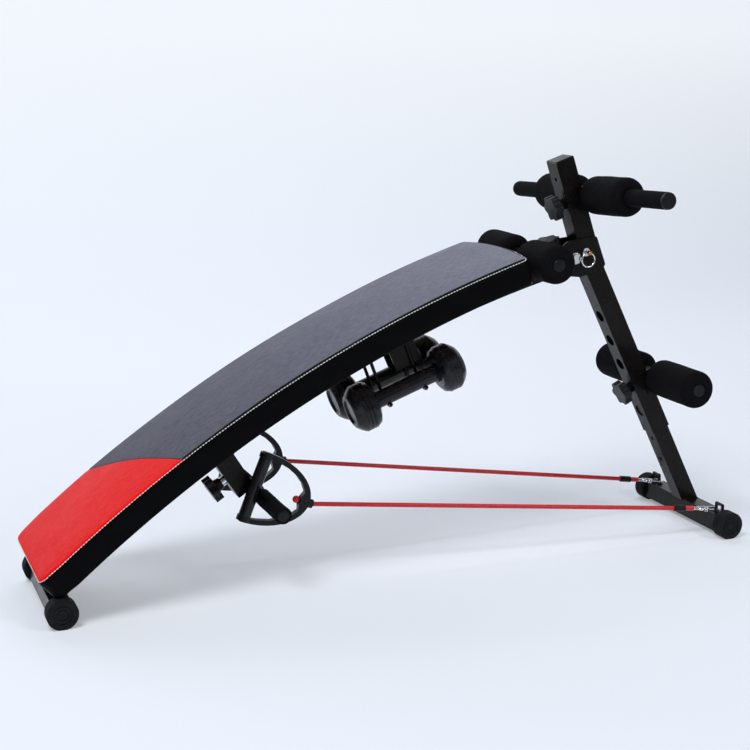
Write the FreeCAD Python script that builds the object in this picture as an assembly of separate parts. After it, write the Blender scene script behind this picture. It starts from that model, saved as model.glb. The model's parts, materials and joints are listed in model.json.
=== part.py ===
import FreeCAD, Part
import math
import os
from FreeCAD import Vector as V

# Decline sit-up bench, millimetres.
# X runs from the tail foot to the post, Y across the bench, Z up.
# The origin is on the floor at the middle of the bench.

os.makedirs("parts", exist_ok=True)

# ---- feet ------------------------------------------------------------------
tail_x = -624.85         # tail foot axis
cap_r = 25.4             # axis of the feet above the floor
cap_sole = 0.7           # the rubber caps are this much rounder, and flat where they bear
cap_len = 25.0
foot_w = 33.0            # square foot tube, side
front_half = 150.0       # front foot, half its length over the caps
tail_half = 131.0        # tail foot, half its length over the caps
cap_end = 6.0            # thickness of a cap's closed end
wall = 2.0               # wall of every square tube

# ---- board and its tube ----------------------------------------------------
tube = 38.0              # square main tube, side
bend_r = 2318.0          # radius of the board's underside
tail_deg = 41.2          # slope of the main tube at the tail foot
board_tail_deg = 41.0    # board's tail edge
board_head_deg = 17.0    # board's head edge, at its corners
head_bulge = 14.0        # the head edge bows out by this at the middle
board_w = 265.0
tail_w = 247.0           # the board narrows to this at its tail edge
flare = 60.0             # length over which it does
base_t = 12.0            # plywood base
pad_t = 36.0             # foam and cover above the base
base_inset = 4.0
base_back = 12.0         # the plywood ends this far before the tail edge
pad_corner = 14.0        # corner radius seen from above
pad_round = 9.0          # rounding of the pad's upper edges

# ---- fold pivot ------------------------------------------------------------
pivot_deg = 13.6
pivot_drop = 16.0        # pivot axis below the line of the board's underside
pivot_r = 5.0
run_gap = 0.05           # radial clearance of a turning fit
fold_gap = 0.4           # side clearance between post and plates
plate_t = 4.0
lug_r = 11.0
tube_end_gap = 16.0      # main tube ends this far before the pivot
lock_dx = 20.0           # lock pin from the pivot
lock_dz = 11.0
lock_r = 4.0
fold_max = 60.0          # degrees the post folds in

# ---- post and leg ----------------------------------------------------------
low_lean = 26.1          # lean of the lower post from upright
top_lean = 18.5          # lean of the part above the bend
bend_ahead = 42.65       # bend of the post, ahead of the pivot
bend_above = -21.18      # and above it
foot_set = 4.0           # front foot axis, short of the post's own line
room = 400.0             # wider than anything, for the blocks that only cut
top_len = 210.0
post_w = tube - 2 * fold_gap
sleeve_from = 212.0      # where the outer tube of the post starts
leg_gap = 0.2
leg_w = post_w - 2 * wall - 2 * leg_gap
leg_in = 90.0            # length of leg inside the post
hole_pitch = 53.0
low_bar_at = 315.0       # along the lower post
top_bar_at = 131.0       # above the bend
top_tilt = 2.8           # the top bar leans this much, near end up
big_hole_r = 11.5
small_hole_r = 4.0

# ---- roller bars -----------------------------------------------------------
bar_r = 12.5
bar_wall = 1.5
foam_r = 35.0
foam_round = 14.0
foam_gap = 1.0
plug_sunk = 0.5          # end plugs stand this far inside the foam's end
saddle_t = 3.0
saddle_h = 44.0
low_half = 158.0
mid_half = 133.0
top_half = 277.0
low_foam_from = 27.0
top_foam_to = 155.0
grip_r = 15.0
plug_t = 4.0
mid_deg = 15.8
mid_lift = 14.5
mid_knob_deg = 14.56

# ---- star knobs ------------------------------------------------------------
knob_r = 24.0
knob_t = 15.0
knob_neck_r = 10.0
knob_neck = 11.0
screw_r = 5.0
lobes = 6

# ---- handle rest -----------------------------------------------------------
rest_deg = 32.6          # tail face of the rest's bracket
rest_depth = 37.0
rest_reach = 78.0        # bracket length below the main tube
rest_plate = 3.0
rest_from_tail = 370.0   # axis of the cross bar
rest_x = tail_x + rest_from_tail
rest_z = 148.0
stem_slope = 45.0
stem_r = 11.0
stem_len = 72.0
rest_half = 138.0
rest_knob_drop = 42.0    # knob axis below the main tube's underside

# ---- stirrup handles and ropes ----------------------------------------------
grip_len = 118.0
hand_r = 11.0
hand_depth = 99.0        # grip axis to rope boss
hand_t = 12.0
rope_r = 4.0
knot_r = 6.5
near_hand_y = 36.0
far_hand_y = rest_half - 10.0
near_tip = 22.5          # each stirrup points down by this
far_tip = 11.0
near_lift = 16.0         # grip middle above the rest bar
far_lift = 34.0
hook_y = 111.0           # eye on the front foot
eye_rod = 3.0
eye_span = 20.0
eye_rise = 19.0
clip_above = 4.2         # middle of the snap hook above the foot tube
strap_len = 18.0
ferrule_len = 22.0

# ---- dumbbells -------------------------------------------------------------
bell_from_tail = 627.5
bell_x = tail_x + bell_from_tail
bell_z = 327.0
bell_slope = 20.0
bell_r = 43.0
bell_head = 48.0
bell_gap = 124.0         # handle between the heads
bell_grip_r = 15.5
rod_r = 3.0
seat_gap = 0.3
bracket_t = 2.5
bracket_tail = 50.0      # hanger bracket, from its middle to the tail
bracket_head = 56.0      # and to the head
bracket_deep = 40.0      # depth of its channel below the main tube
rod_at = (-38.0, 34.0)   # hanger rods along the dumbbell, from its middle


def out(name, shape):
    if isinstance(shape, (list, tuple)):
        shape = Part.makeCompound(list(shape))
    shape.exportStep("parts/" + name + ".step")
    print(name, round(shape.Volume), len(shape.Solids), shape.isValid())


def rad(a):
    return math.radians(a)


arc_x = tail_x + (bend_r - tube / 2) * math.sin(rad(tail_deg))
arc_z = cap_r - (bend_r - tube / 2) * math.cos(rad(tail_deg))


def on_arc(r, deg, y=0.0):
    return V(arc_x - r * math.sin(rad(deg)), y, arc_z + r * math.cos(rad(deg)))


def along(deg):
    # towards the head, level with the board at that angle
    return V(math.cos(rad(deg)), 0, math.sin(rad(deg)))


def up_from(deg):
    return V(-math.sin(rad(deg)), 0, math.cos(rad(deg)))


def deg_for(length, r=None):
    return math.degrees(length / (r or bend_r))


def sector(r0, r1, a0, a1, y0, y1):
    # a slice of ring between two radii and two angles, extruded across the bench
    am = (a0 + a1) / 2
    p = [on_arc(r0, a0, y0), on_arc(r0, am, y0), on_arc(r0, a1, y0)]
    q = [on_arc(r1, a1, y0), on_arc(r1, am, y0), on_arc(r1, a0, y0)]
    edges = [Part.Arc(*p).toShape(), Part.makeLine(p[2], q[0]),
             Part.Arc(*q).toShape(), Part.makeLine(q[2], p[0])]
    return Part.Face(Part.Wire(edges)).extrude(V(0, y1 - y0, 0))


def prism(points, y0, y1):
    pts = [V(p.x, y0, p.z) for p in points]
    return Part.Face(Part.makePolygon(pts + [pts[0]])).extrude(V(0, y1 - y0, 0))


def cyl(r, a, b):
    d = b - a
    return Part.makeCylinder(r, d.Length, a, d)


def across(r, x, z, y0, y1):
    return cyl(r, V(x, y0, z), V(x, y1, z))


def turned(profile, x, z, y0, way=1):
    # revolve (distance from y0, radius) points about a line across the bench
    pts = [V(x, y0 + way * d, z + r) for d, r in profile]
    pts = [V(x, y0 + way * profile[0][0], z)] + pts + [V(x, y0 + way * profile[-1][0], z)]
    face = Part.Face(Part.makePolygon(pts + [pts[0]]))
    return face.revolve(V(x, 0, z), V(0, 1, 0), 360)


def mirror_y(shape):
    return shape.mirror(V(0, 0, 0), V(0, 1, 0))


# ---- where the pivot and the post stand --------------------------------------
pivot = on_arc(bend_r - pivot_drop, pivot_deg)
tube_end_deg = pivot_deg + deg_for(tube_end_gap)
low_dir = V(-math.sin(rad(low_lean)), 0, math.cos(rad(low_lean)))
low_out = V(math.cos(rad(low_lean)), 0, math.sin(rad(low_lean)))
top_dir = V(-math.sin(rad(top_lean)), 0, math.cos(rad(top_lean)))
top_out = V(math.cos(rad(top_lean)), 0, math.sin(rad(top_lean)))
bend = pivot + V(bend_ahead, 0, bend_above)
post_base = bend - low_dir * (bend.z / math.cos(rad(low_lean)))
post_top = bend + top_dir * top_len
front_x = post_base.x - cap_r * math.tan(rad(low_lean)) - foot_set


# ---- feet ------------------------------------------------------------------
def foot_tube(x, half):
    long = 2 * (half - cap_end - 0.2)
    s = foot_w - 2 * wall
    body = Part.makeBox(foot_w, long, foot_w, V(x - foot_w / 2, -long / 2, cap_r - foot_w / 2))
    hole = Part.makeBox(s, long + 2, s, V(x - s / 2, -long / 2 - 1, cap_r - s / 2))
    return body.cut(hole)


def foot_cap(x, half, side):
    # ribbed round cap with a square socket and rings on its end
    rib = 1.6
    pitch = cap_len / 5
    rim = cap_r + cap_sole
    prof = [(0.0, rim - 3.0)]
    for i in range(5):
        d = i * pitch
        prof += [(d + 0.6, rim), (d + pitch - 2.2, rim), (d + pitch - 1.6, rim - rib)]
        prof += [(d + pitch - 0.4, rim - rib)]
    prof += [(cap_len, rim - 2.4)]
    cap = turned(prof, x, cap_r, side * half, -side)
    s = foot_w + 0.3
    y0 = half - cap_end
    box = Part.makeBox(s, cap_len, s, V(x - s / 2, y0 - cap_len, cap_r - s / 2))
    if side < 0:
        box = mirror_y(box)
    cap = cap.cut(box)
    for r0, r1 in ((8.0, 10.0), (14.0, 16.0)):
        ring = across(r1, x, cap_r, side * (half - 1.0), side * (half + 1))
        ring = ring.cut(across(r0, x, cap_r, side * (half - 2.0), side * (half + 2)))
        cap = cap.cut(ring)
    ground = Part.makeBox(4 * rim, 4 * half, rim, V(x - 2 * rim, -2 * half, -rim))
    return cap.cut(ground)


front_foot = foot_tube(front_x, front_half)
tail_foot = foot_tube(tail_x, tail_half)
out("front_foot_tube", front_foot)
out("tail_foot_tube", tail_foot)
out("front_caps", [foot_cap(front_x, front_half, side) for side in (-1, 1)])
out("tail_caps", [foot_cap(tail_x, tail_half, side) for side in (-1, 1)])


def foot_block(x):
    return Part.makeBox(foot_w, room, foot_w, V(x - foot_w / 2, -room / 2, cap_r - foot_w / 2))


# ---- main tube -------------------------------------------------------------


def main_tube():
    a0 = tube_end_deg
    a1 = tail_deg - 0.2
    body = sector(bend_r - tube, bend_r, a0, a1, -tube / 2, tube / 2)
    hole = sector(bend_r - tube + wall, bend_r - wall, a0 - 0.1, a1 + 0.1,
                  -tube / 2 + wall, tube / 2 - wall)
    return body.cut(hole).cut(foot_block(tail_x))


out("main_tube", main_tube())


# ---- board -----------------------------------------------------------------
def flare_cut(spot, d, n, inset, side):
    # what the outline leaves out beside the tail edge
    y0 = side * (tail_w / 2 - inset)
    y1 = side * (board_w / 2 - inset)
    low = spot - n * 60
    p0 = low + V(0, y0, 0)
    p1 = low + d * (flare / 2) + V(0, y0 + (y1 - y0) * 0.75, 0)
    p2 = low + d * flare + V(0, y1, 0)
    away = V(0, side * 50, 0)
    q = low + V(0, y1, 0) + away
    e = [Part.Arc(p0, p1, p2).toShape(), Part.makeLine(p2, p2 + away),
         Part.makeLine(p2 + away, q), Part.makeLine(q, p0)]
    return Part.Face(Part.Wire(e)).extrude(n * 120)


def board_piece(r0, r1, inset, back, corner):
    half = board_w / 2 - inset
    a_tail = board_tail_deg - deg_for(back)
    a_head = board_head_deg + deg_for(inset)
    mid = (r0 + r1) / 2
    slab = sector(r0, r1, a_head - deg_for(head_bulge), a_tail, -half, half)
    # head end: bowed outline, cut square to the board
    pos = on_arc(mid, a_head)
    d = along(a_head)
    n = up_from(a_head)
    big = 200.0
    c0 = pos - V(0, half, 0) - n * 60
    c1 = pos + d * head_bulge - n * 60
    c2 = pos + V(0, half, 0) - n * 60
    far = d * big
    e = [Part.Arc(c0, c1, c2).toShape(), Part.makeLine(c2, c2 + far),
         Part.makeLine(c2 + far, c0 + far), Part.makeLine(c0 + far, c0)]
    slab = slab.cut(Part.Face(Part.Wire(e)).extrude(n * 120))
    for side in (-1, 1):
        slab = slab.cut(flare_cut(on_arc(mid, a_tail), along(a_tail), up_from(a_tail), inset, side))
    edges = []
    for ed in slab.Edges:
        b = ed.BoundBox
        at_tail = abs(abs(b.YMin) - (tail_w / 2 - inset)) < 0.01
        at_head = abs(abs(b.YMin) - half) < 0.01 and b.XMin > 0
        if b.YLength > 0.5 or not (at_tail or at_head):
            continue
        if ed.Length < (r1 - r0) * 1.2:
            edges.append(ed)
    return slab.makeFillet(corner, edges)


base = board_piece(bend_r, bend_r + base_t, base_inset, base_back, pad_corner - base_inset)
pad = board_piece(bend_r + base_t, bend_r + base_t + pad_t, 0.0, 0.0, pad_corner)
top_edges = []
for ed in pad.Edges:
    m = ed.valueAt((ed.FirstParameter + ed.LastParameter) / 2)
    r = math.hypot(m.x - arc_x, m.z - arc_z)
    if abs(r - (bend_r + base_t + pad_t)) < 0.5:
        top_edges.append(ed)
pad = pad.makeFillet(pad_round, top_edges)
out("board_base", base)
out("board_pad", pad)


# ---- post ------------------------------------------------------------------


def mitre(offset):
    # where the two post faces at that distance from the axis meet
    half = (low_out + top_out)
    half.normalize()
    return bend + half * (offset / math.cos(rad((low_lean - top_lean) / 2)))


def post_outline(off, t0, extra=0.0):
    lo = post_base + low_dir * t0
    hi = post_top + top_dir * extra
    return [lo - low_out * off, mitre(-off), hi - top_out * off,
            hi + top_out * off, mitre(off), lo + low_out * off]


lock = pivot + V(lock_dx, 0, lock_dz)
lock_rad = math.hypot(lock_dx, lock_dz)
lock_deg = math.degrees(math.atan2(lock_dz, lock_dx))


def lock_slot():
    # curved slot in the post that lets it fold past the lock pin
    w = lock_r + 0.6
    reach = fold_max + 25
    outer = Part.makeCylinder(lock_rad + w, post_w + 4, V(pivot.x, -post_w / 2 - 2, pivot.z),
                              V(0, 1, 0))
    inner = Part.makeCylinder(lock_rad - w, post_w + 8, V(pivot.x, -post_w / 2 - 4, pivot.z),
                              V(0, 1, 0))
    ring = outer.cut(inner)
    far = 3 * lock_rad
    pts = [V(pivot.x, 0, pivot.z)]
    for k in range(5):
        a = rad(lock_deg + reach * k / 4)
        pts.append(V(pivot.x + far * math.cos(a), 0, pivot.z + far * math.sin(a)))
    wedge = prism(pts, -post_w, post_w)
    start = across(w, lock.x, lock.z, -post_w, post_w)
    return ring.common(wedge).fuse(start)


def lug():
    # eye on the front face of the post, turning on the pivot bolt
    half = post_w / 2
    eye = across(lug_r, pivot.x, pivot.z, -half, half)
    c = V(pivot.x, 0, pivot.z)
    block = prism([c - low_dir * 9, c + top_dir * 9, c + top_dir * 9 + top_out * 26,
                   c - low_dir * 9 + low_out * 26], -half, half)
    return eye.fuse(block)


def post_column():
    h = post_w / 2
    solid = prism(post_outline(h, sleeve_from), -h, h)
    hollow = prism(post_outline(h - wall, sleeve_from - 5, 5.0), -h + wall, h - wall)
    tube_solid = solid.cut(hollow)
    eye = lug().cut(solid)
    body = tube_solid.fuse(eye)
    body = body.cut(lock_slot())
    body = body.cut(across(pivot_r + run_gap, pivot.x, pivot.z, -h - 2, h + 2))
    for k in (-1, 1, 2, 3):
        c = post_base + low_dir * (low_bar_at + k * hole_pitch)
        body = body.cut(cyl(big_hole_r, c - low_out * (h + 5), c))
    c = bend + top_dir * (top_bar_at + 48)
    body = body.cut(cyl(small_hole_r, c - top_out * (h + 5), c))
    for c, o in bar_seats():
        body = body.cut(cyl(screw_r + 0.3, c - o * (h + 5), c + o * (h + 5)))
    return body


def bar_seats():
    return ((post_base + low_dir * low_bar_at, low_out),
            (bend + top_dir * top_bar_at, top_out))


out("post_column", post_column())


def post_cap():
    h = post_w / 2
    lid = prism([post_top - top_out * h, post_top + top_out * h,
                 post_top + top_out * (h - 1.5) + top_dir * 3,
                 post_top - top_out * (h - 1.5) + top_dir * 3], -h, h)
    s = h - wall - 0.1
    plug = prism([post_top - top_out * s, post_top + top_out * s,
                  post_top + top_out * s - top_dir * 14,
                  post_top - top_out * s - top_dir * 14], -s, s)
    return lid.fuse(plug)


out("post_top_plug", post_cap())


def leg():
    h = leg_w / 2
    lo = post_base + low_dir * 6
    hi = post_base + low_dir * (sleeve_from + leg_in)
    def box(s, a, b):
        return prism([a - low_out * s, a + low_out * s, b + low_out * s, b - low_out * s], -s, s)
    body = box(h, lo, hi)
    body = body.cut(box(h - wall, lo - low_dir * 5, hi + low_dir * 5))
    body = body.cut(foot_block(front_x))
    for t in (sleeve_from - 16, sleeve_from - 64):
        c = post_base + low_dir * t
        body = body.cut(cyl(small_hole_r, c - low_out * (h + 5), c))
    below = V(front_x - room / 2, -room / 2, cap_r + foot_w / 2 - room)
    return body.cut(Part.makeBox(room, room, room, below))


out("post_leg", leg())


# ---- fold bracket ----------------------------------------------------------
def fold_plate(side):
    t = plate_t
    e = on_arc(bend_r, tube_end_deg + 0.85)
    f = on_arc(bend_r - tube, tube_end_deg + 0.55)
    p = [e, pivot + V(-16, 0, 32), pivot + V(43, 0, 39), pivot + V(63, 0, -14),
         pivot + V(56, 0, -24), pivot + V(11, 0, -35), f]
    y0 = tube / 2
    plate = prism(p, y0, y0 + t)
    upright = [ed for ed in plate.Edges if abs(ed.BoundBox.YLength - t) < 1e-6]
    plate = plate.makeFillet(5.0, upright)
    plate = plate.cut(across(pivot_r + run_gap, pivot.x, pivot.z, y0 - 2, y0 + t + 2))
    plate = plate.cut(across(lock_r + run_gap, lock.x, lock.z, y0 - 2, y0 + t + 2))
    return plate if side > 0 else mirror_y(plate)


out("fold_plates", [fold_plate(-1), fold_plate(1)])


def hexagon(c, af, y0, y1):
    r = af / math.sqrt(3)
    pts = [V(c.x + r * math.cos(rad(60 * k)), 0, c.z + r * math.sin(rad(60 * k)))
           for k in range(6)]
    return prism(pts, y0, y1)


def pivot_bolt():
    y = tube / 2 + plate_t
    shank = across(pivot_r, pivot.x, pivot.z, -y - 1, y + 9)
    washer = across(10.5, pivot.x, pivot.z, -y - 1.5, -y)
    head = hexagon(pivot, 16.0, -y - 7.5, -y - 1.5)
    nut = hexagon(pivot, 16.0, y, y + 7.5)
    return shank.fuse(washer).fuse(head).fuse(nut).removeSplitter()


out("pivot_bolt", pivot_bolt())

pin_head_y = -(tube / 2 + plate_t + 12.0)
ring_r = 13.0
ring_rod = 1.4


def lock_pin():
    y = tube / 2 + plate_t
    shank = across(lock_r, lock.x, lock.z, pin_head_y - 6, y + 5)
    collar = across(lock_r + 3.5, lock.x, lock.z, -y - 4.5, -y - 0.5)
    c = V(lock.x, pin_head_y, lock.z)
    hole = Part.makeCylinder(ring_rod + 1.0, 30, c - V(15, 0, 0), V(1, 0, 0))
    return shank.fuse(collar).cut(hole)


out("lock_pin", lock_pin())
out("lock_ring", Part.makeTorus(ring_r, ring_rod, V(lock.x, pin_head_y, lock.z - ring_r), V(0, 1, 0)))


# ---- roller bars -----------------------------------------------------------
def cross_bar(c, half):
    body = across(bar_r, c.x, c.z, -half, half)
    return body.cut(across(bar_r - bar_wall, c.x, c.z, -half - 1, half + 1))


def saddle(c, o, d):
    # bent plate that seats on the back of the post and carries the bar
    h = post_w / 2
    a = c + o * h
    b = c + o * (h + saddle_t)
    s = saddle_h / 2
    back = prism([a - d * s, a + d * s, b + d * s, b - d * s], -h - saddle_t, h + saddle_t)
    cheek_in = c + o * (h - 16)
    cheek = prism([cheek_in - d * s, cheek_in + d * s, b + d * s, b - d * s],
                  h + 0.1, h + saddle_t)
    body = back.fuse(cheek).fuse(mirror_y(cheek))
    return body


def bar_centre(c, o):
    return c + o * (post_w / 2 + saddle_t + bar_r)


def knob(c, o, bore_len):
    # lobed grip, neck and screw; c is where the neck meets its seat, o points at the seat
    body = Part.makeCylinder(knob_r - 3, knob_t, c - o * (knob_neck + knob_t), o)
    side = V(0, 1, 0)
    up = o.cross(side)
    for k in range(lobes):
        a = rad(360.0 * k / lobes)
        p = c + (side * math.cos(a) + up * math.sin(a)) * (knob_r - 6.0)
        body = body.fuse(Part.makeCylinder(6.0, knob_t, p - o * (knob_neck + knob_t), o))
    for k in range(lobes):
        a = rad(360.0 * (k + 0.5) / lobes)
        p = c + (side * math.cos(a) + up * math.sin(a)) * (knob_r + 1.5)
        body = body.cut(Part.makeCylinder(6.5, knob_t + 2, p - o * (knob_neck + knob_t + 1), o))
    body = body.fuse(Part.makeCone(knob_neck_r + 2, knob_neck_r, knob_neck + 0.1,
                                   c - o * (knob_neck + 0.1), o).common(
        Part.makeCylinder(40, knob_neck - seat_gap, c - o * knob_neck, o)))
    body = body.fuse(Part.makeCylinder(screw_r - 0.05, knob_neck + bore_len - 2,
                                       c - o * (knob_neck - 2), o))
    return body.removeSplitter()


def foam_roll(c, y0, y1, r):
    # hollow foam sleeve with softly rounded ends
    lo = min(y0, y1)
    long = abs(y1 - y0)
    body = across(r, c.x, c.z, lo, lo + long)
    rims = [e for e in body.Edges if e.Length > 6 * r * 0.9 and e.BoundBox.YLength < 0.01]
    body = body.makeFillet(min(foam_round, r * 0.4), rims)
    return body.cut(across(bar_r + run_gap, c.x, c.z, lo - 1, lo + long + 1))


def end_plug(c, half, side, r):
    prof = [(0.0, bar_r - bar_wall - 0.1), (12.0, bar_r - bar_wall - 0.1), (12.01, r),
            (12.0 + plug_t - 1.5, r), (12.0 + plug_t, r - 1.5)]
    return turned(prof, c.x, c.z, side * (half - 12.0), side)


low_c, low_o = bar_seats()[0]
top_c, top_o = bar_seats()[1]
low_bar = bar_centre(low_c, low_o)
top_bar = bar_centre(top_c, top_o)
mid_bar = on_arc(bend_r + mid_lift, mid_deg)
reach_in = post_w + saddle_t - 1.0


def saddle_and_bar(c, o, d, half):
    plate = saddle(c, o, d)
    centre = bar_centre(c, o)
    bar = cross_bar(centre, half)
    plate = plate.cut(cyl(screw_r + 0.3, c - o * 5, c + o * (post_w / 2 + saddle_t + 1)))
    return plate, bar


def set_top(shape):
    # the top bar and all it carries lean about the screw that clamps it
    return shape.rotate(top_bar, top_o, -top_tilt)


for nm, c, o, d, half in (("low", low_c, low_o, low_dir, low_half),
                          ("top", top_c, top_o, top_dir, top_half)):
    plate, bar = saddle_and_bar(c, o, d, half)
    out(nm + "_saddle", plate)
    out(nm + "_bar", set_top(bar) if nm == "top" else bar)
    out(nm + "_knob", knob(c - o * (post_w / 2), o, reach_in))


def mid_strap():
    # flat strap clamped on the main tube, turned up to carry the roller bar
    t = 4.0
    a_knob = mid_knob_deg - deg_for(16)
    strap = sector(bend_r, bend_r + t, a_knob, mid_deg + deg_for(13), -15, 15)
    c = mid_bar
    u = up_from(mid_deg)
    d = along(mid_deg)
    foot = on_arc(bend_r + t, mid_deg)
    post = prism([foot - d * 13 - u * 0.5, foot + d * 13 - u * 0.5, c + d * 8 - u * 3,
                  c - d * 8 - u * 3], -15, 15)
    k = on_arc(bend_r, mid_knob_deg)
    n = up_from(mid_knob_deg)
    body = strap.fuse(post).removeSplitter().cut(across(bar_r, c.x, c.z, -20, 20))
    return body.cut(cyl(screw_r + 0.3, k - n * 2, k + n * 10))


out("mid_strap", mid_strap())
out("mid_bar", cross_bar(mid_bar, mid_half))
mk = on_arc(bend_r + 4.0, mid_knob_deg)
out("mid_knob", knob(mk, up_from(mid_knob_deg) * -1, 2.0 + 1.5))

for nm, c, half in (("low", low_bar, low_half), ("mid", mid_bar, mid_half)):
    for sn, side in (("near", -1), ("far", 1)):
        to = half + plug_t + plug_sunk
        out(nm + "_foam_" + sn, foam_roll(c, side * low_foam_from, side * to, foam_r))
    out(nm + "_plugs", [end_plug(c, half, side, bar_r) for side in (-1, 1)])
for sn, side in (("near", -1), ("far", 1)):
    roll = foam_roll(top_bar, side * low_foam_from, side * top_foam_to, foam_r)
    out("top_foam_" + sn, set_top(roll))
grips = [foam_roll(top_bar, side * (top_foam_to + foam_gap), side * (top_half - 0.5), grip_r)
         for side in (-1, 1)]
out("top_grips", [set_top(one) for one in grips])
out("top_plugs", [set_top(end_plug(top_bar, top_half, side, grip_r - 0.5)) for side in (-1, 1)])


# ---- handle rest -----------------------------------------------------------
rest_bar = V(rest_x, 0, rest_z)
stem_way = V(math.cos(rad(stem_slope)), 0, -math.sin(rad(stem_slope)))


def rest_bracket():
    r1 = bend_r - tube
    r0 = r1 - rest_reach
    h = tube / 2
    t = rest_plate
    d = deg_for(rest_depth)
    body = sector(r0, r1, rest_deg - d, rest_deg, -h, h)
    room = sector(r0 - 5, r1 + 5, rest_deg - d - 1, rest_deg - deg_for(t), -h + t, h - t)
    body = body.cut(room)
    c = on_arc(r1 - rest_knob_drop, rest_deg)
    w = along(rest_deg)
    body = body.cut(cyl(screw_r + 0.3, c - w * 10, c + w * 10))
    # the flanges are cut away at a slant towards the free end
    p = [on_arc(r0 - 2, rest_deg - d - 0.3), on_arc(r0 - 2, rest_deg - d * 0.45),
         on_arc(r0 + 26, rest_deg - d - 0.3)]
    return body.cut(prism(p, -h - 2, h + 2))


def rest_nut():
    c = on_arc(bend_r - tube - rest_knob_drop, rest_deg)
    w = along(rest_deg)
    body = Part.makeCylinder(8.5, 8.0, c - w * 8.0, w)
    return body.cut(cyl(screw_r + 0.05, c - w * 10, c + w * 2))


def rest_stem():
    a = rest_bar - stem_way * stem_len
    stem = cyl(stem_r, a, rest_bar)
    stem = stem.cut(cyl(stem_r - bar_wall, a - stem_way, rest_bar))
    bar = across(bar_r - 1.5, rest_x, rest_z, -rest_half + 2, rest_half - 2)
    return stem.cut(bar), bar


out("rest_bracket", rest_bracket())
out("rest_nut", rest_nut())
stem, bar = rest_stem()
out("rest_stem", stem)
out("rest_bar", bar.cut(across(bar_r - 3.0, rest_x, rest_z, -rest_half - 2, rest_half + 2)))


def rest_foam(side):
    y0 = stem_r + 4.0
    body = across(grip_r, rest_x, rest_z, y0, rest_half)
    rims = [e for e in body.Edges if e.Length > 6 * grip_r * 0.9 and e.BoundBox.YLength < 0.01]
    body = body.makeFillet(3.0, rims)
    body = body.cut(across(bar_r - 1.4, rest_x, rest_z, 0, rest_half - 2))
    return body if side > 0 else mirror_y(body)


out("rest_foams", [rest_foam(-1), rest_foam(1)])
kc = on_arc(bend_r - tube - rest_knob_drop, rest_deg)
kw = along(rest_deg)
out("rest_knob", knob(kc - kw * 8.0, kw, 8.0 + 6.0))


# ---- stirrup handles -------------------------------------------------------
def stirrup(centre, u, y):
    # moulded D frame: u runs from the grip to the rope boss, v along the grip
    v = V(-u.z, 0, u.x)

    def at(a, b, yy=None):
        return centre + u * a + v * b + V(0, y if yy is None else yy, 0)

    y0 = y - hand_t / 2
    g = grip_len / 2
    n = 12
    outer = []
    inner = []
    for k in range(n + 1):
        a = math.pi * (0.5 - k / n)
        outer.append(at((hand_depth + 5) * math.cos(a) + 0.0, (g + 5) * math.sin(a), y0))
    curve = Part.BSplineCurve()
    curve.interpolate(outer)
    e = [curve.toShape(),
         Part.makeLine(outer[-1], at(-7, -g - 5, y0)), Part.makeLine(at(-7, -g - 5, y0), at(-7, g + 5, y0)),
         Part.makeLine(at(-7, g + 5, y0), outer[0])]
    body = Part.Face(Part.Wire(e)).extrude(V(0, hand_t, 0))
    # the opening narrows to a gusset at the rope boss
    for s in (1, -1):
        pts = [at(-30, 0, y0), at(-30, s * (g - 3.5), y0), at(2, s * (g - 3.5), y0)]
        for k in range(1, 6):
            a = math.pi * (0.5 - k / 12.5)
            pts.append(at((hand_depth - 5) * math.cos(a), s * (g - 4) * math.sin(a), y0))
        pts.append(at(hand_depth - 14, s * 6.0, y0))
        pts.append(at(hand_depth - 14, 0, y0))
        cut = Part.Face(Part.makePolygon(pts + [pts[0]])).extrude(V(0, hand_t, 0))
        body = body.cut(cut)
    boss = Part.makeCylinder(8.0, 26.0, at(hand_depth - 14, 0), u)
    body = body.fuse(boss)
    body = body.cut(Part.makeCylinder(rope_r + 0.3, 60.0, at(hand_depth - 30, 0), u))
    for s in (1, -1):
        hub = cyl(hand_r + 1.5, at(0, s * (g - 5.7)), at(0, s * (g + 3.0)))
        body = body.fuse(hub)
    grip = cyl(hand_r, at(0, -g + 6.0), at(0, g - 6.0))
    back = math.sqrt(knot_r ** 2 - (rope_r + 0.3) ** 2) + seat_gap
    ball = Part.makeSphere(knot_r, at(hand_depth - 14 - back, 0))
    return body.removeSplitter(), grip, ball, at(hand_depth + 12.0, 0)


def hook_point(side):
    # the snap hook lies flat round the eye's inner leg
    return V(front_x, side * (hook_y - eye_span / 2), cap_r + foot_w / 2 + clip_above)


sets = {}
hand_c = {}
gates = {}
knots = []
for sn, tip, lift, y in (("near", near_tip, near_lift, -near_hand_y),
                         ("far", far_tip, far_lift, far_hand_y)):
    u = V(math.cos(rad(tip)), 0, -math.sin(rad(tip)))
    c = rest_bar - u * (grip_r + hand_r + seat_gap) + V(-u.z, 0, u.x) * lift
    hand_c[sn] = (c, u)
    body, grip, ball, start = stirrup(c, u, y)
    out("stirrup_" + sn, body)
    out("hand_grip_" + sn, grip)
    knots.append(ball)
    sets[sn] = start
out("rope_knots", knots)


# ---- eyes, hooks and ropes ---------------------------------------------------
def rod_path(points, r):
    # round rod through points, with a ball at each bend
    body = None
    for a, b in zip(points[:-1], points[1:]):
        piece = cyl(r, a, b)
        body = piece if body is None else body.fuse(piece)
    for p in points[1:-1]:
        body = body.fuse(Part.makeSphere(r, p))
    return body.removeSplitter()


def foot_eye(side):
    y = side * hook_y
    z0 = cap_r + foot_w / 2
    z1 = z0 + eye_rise - eye_rod
    s = eye_span / 2
    return rod_path([V(front_x, y - s, z0), V(front_x, y - s, z1), V(front_x, y + s, z1),
                     V(front_x, y + s, z0)], eye_rod)


clip_rod = 2.2
clip_len = 46.0
clip_in = 5.5            # half the clip's inner width
gate_from = 9.0          # the gate's pin, ahead of the clip's rear bow
gate_pin_r = 0.8
barrel_r = 2.2
barrel_half = 2.0


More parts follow.
